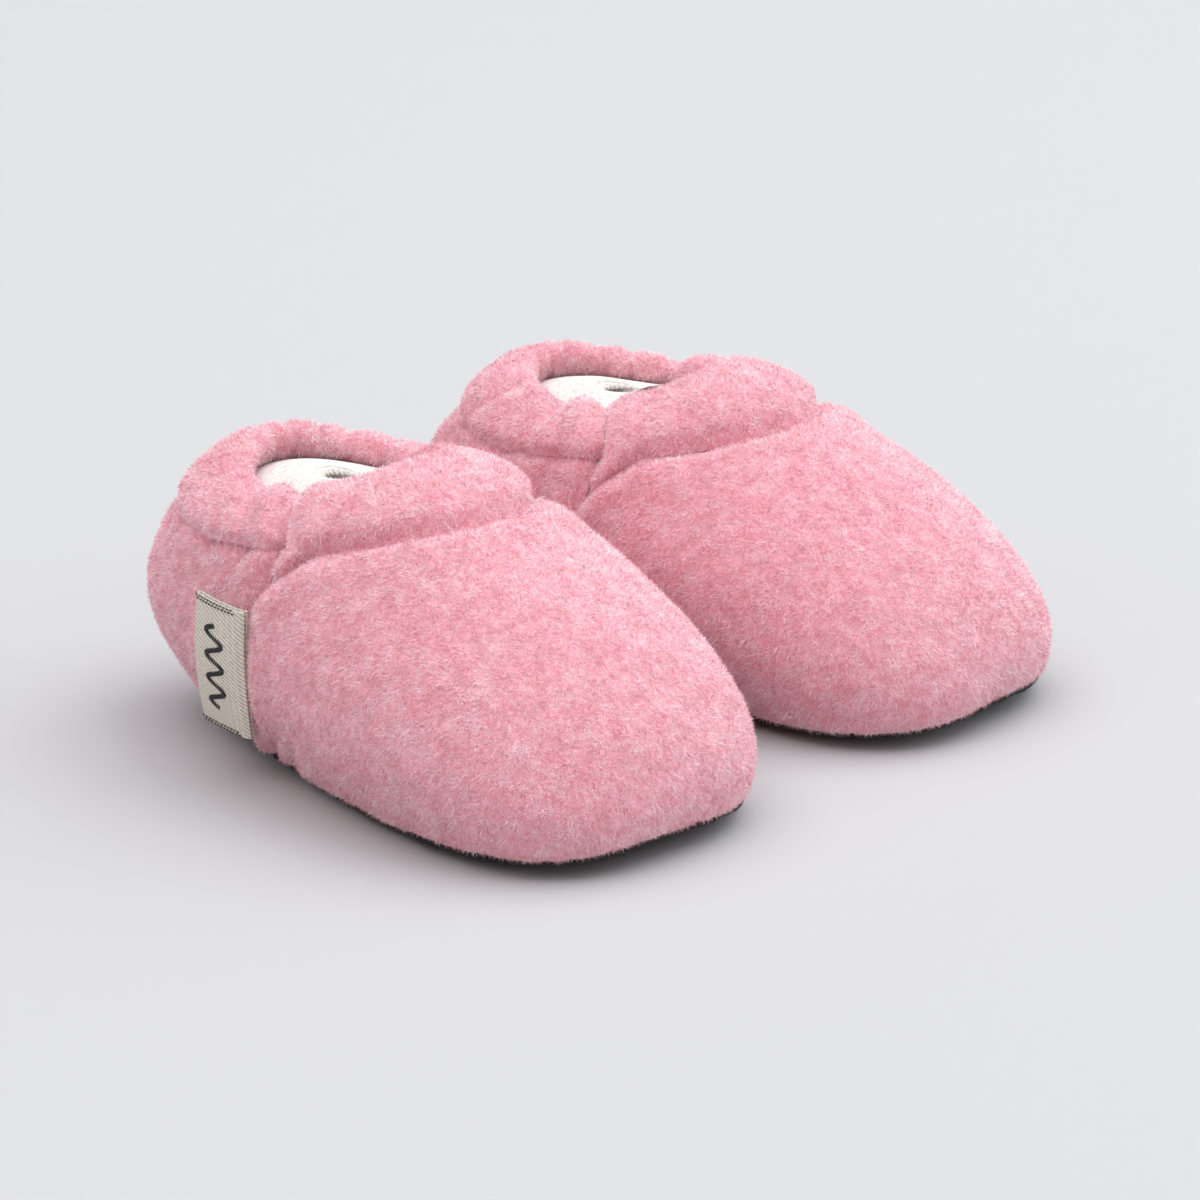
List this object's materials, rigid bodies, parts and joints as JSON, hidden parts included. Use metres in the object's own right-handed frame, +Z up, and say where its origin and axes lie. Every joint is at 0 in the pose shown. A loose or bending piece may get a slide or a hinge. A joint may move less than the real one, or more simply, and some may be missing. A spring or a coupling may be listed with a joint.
{
  "type": "baby bootie",
  "caption": "Pair of soft baby booties in fleece with an elasticated collar, quilted lining, padded non-slip sole and a folded side label; keeps small feet warm.",
  "frame": {"origin": "centre of the pair on the floor, under the middle of their common bounding box", "axes": "+Z up, toes point to -Y, the wearer's right bootie is at -X and the left at +X"},
  "size_m": [0.141, 0.1209, 0.0533],
  "materials": {
    "fleece": "short brushed pile, pink",
    "lining": "white waffle-quilted cotton knit",
    "foam": "soft wadding",
    "elastic": "white woven elastic",
    "thread": "overlocked seam allowance, pink thread",
    "sole": "near-black non-slip sole fabric",
    "sole_thread": "dark overlock thread",
    "tape": "ecru woven tape with dark edge threads"
  },
  "bodies": {
    "right_bootie": {"right_outsole": "sole", "right_insole_pad": "foam", "right_insole": "lining", "right_vamp": "fleece", "right_vamp_lining": "lining", "right_heel_quarter": "fleece", "right_heel_lining": "lining", "right_front_collar": "fleece", "right_heel_collar": "fleece", "right_front_elastic": "elastic", "right_heel_elastic": "elastic", "right_collar_seam": "thread", "right_side_seams": "thread", "right_sole_seam": "sole_thread"},
    "left_bootie": {"left_outsole": "sole", "left_insole_pad": "foam", "left_insole": "lining", "left_vamp": "fleece", "left_vamp_lining": "lining", "left_heel_quarter": "fleece", "left_heel_lining": "lining", "left_front_collar": "fleece", "left_heel_collar": "fleece", "left_front_elastic": "elastic", "left_heel_elastic": "elastic", "left_collar_seam": "thread", "left_side_seams": "thread", "left_sole_seam": "sole_thread"},
    "right_flap": {"right_label": "tape"},
    "left_flap": {"left_label": "tape"}
  },
  "joints": [
    {"name": "left_lift", "type": "slide", "parent": "right_bootie", "child": "left_bootie", "axis": [0, 0, 1], "range_m": [0, 0.1]},
    {"name": "right_label_fold", "type": "hinge", "parent": "right_bootie", "child": "right_flap", "pos_m": [-0.06478, 0.01531, 0.00797], "axis": [-0.1517, -0.1204, 0.9811], "range_deg": [0, 110], "stiffness_Nm_per_rad": 0.00002},
    {"name": "left_label_fold", "type": "hinge", "parent": "left_bootie", "child": "left_flap", "pos_m": [0.06478, 0.01531, 0.00797], "axis": [-0.1517, 0.1204, -0.9811], "range_deg": [0, 110], "stiffness_Nm_per_rad": 0.00002}
  ]
}
